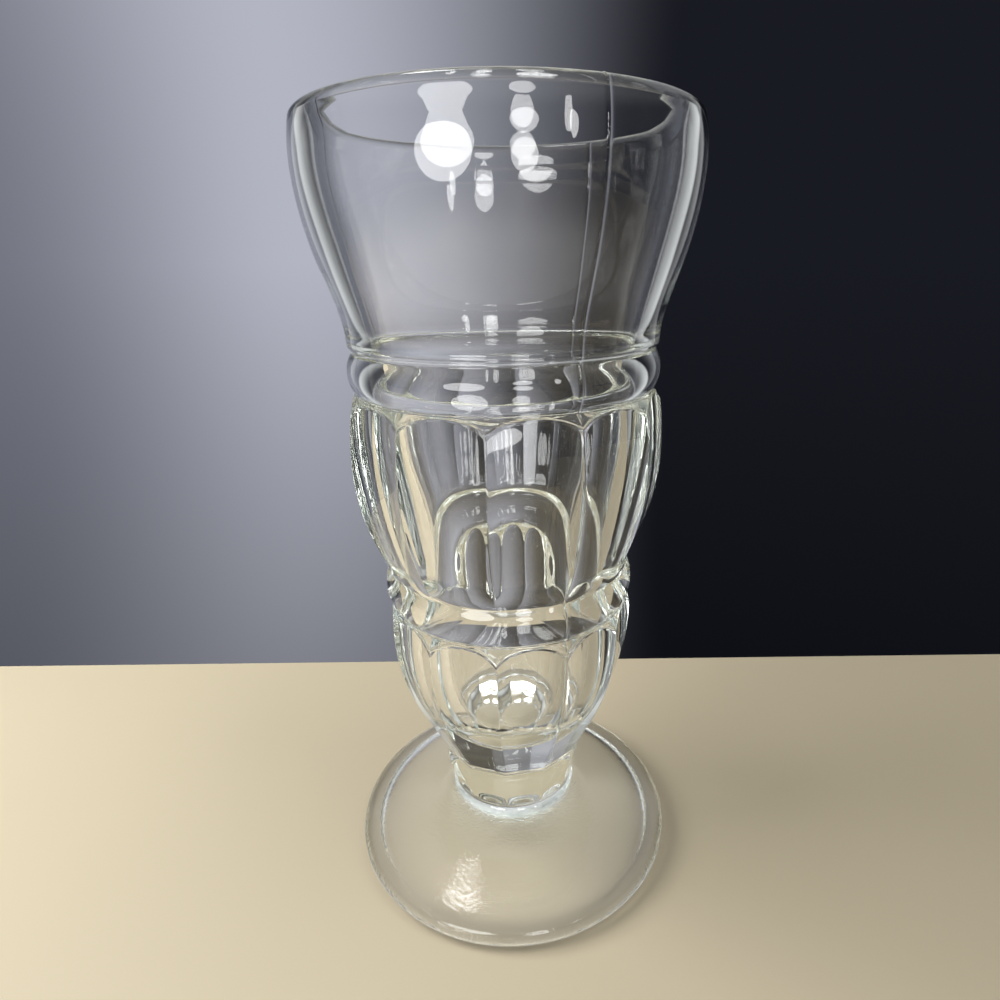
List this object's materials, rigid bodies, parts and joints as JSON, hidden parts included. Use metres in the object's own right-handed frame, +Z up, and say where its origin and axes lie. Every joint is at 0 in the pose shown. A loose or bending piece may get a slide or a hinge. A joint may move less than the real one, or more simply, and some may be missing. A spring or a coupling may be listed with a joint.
{
  "type": "sundae glass",
  "caption": "Footed clear pressed-glass sundae glass with a flared bowl, beaded collar and waist, flat-panelled barrel and bulb, short stem and disc foot.",
  "frame": {"origin": "centre of the plane that the foot rests on", "axes": "+Z up along the glass's axis towards the rim; -Y through an arris between two panels, the side nearest the viewer"},
  "size_m": [0.085, 0.085, 0.18],
  "materials": {
    "clear_glass": "clear fire-polished pressed soda-lime glass, faintly yellow-green in its thick parts"
  },
  "bodies": {
    "root": {"foot": "clear_glass", "stem": "clear_glass", "lower_bulb": "clear_glass", "waist_ring": "clear_glass", "upper_barrel": "clear_glass", "collar_ring": "clear_glass", "bowl": "clear_glass", "rim": "clear_glass"}
  },
  "joints": []
}
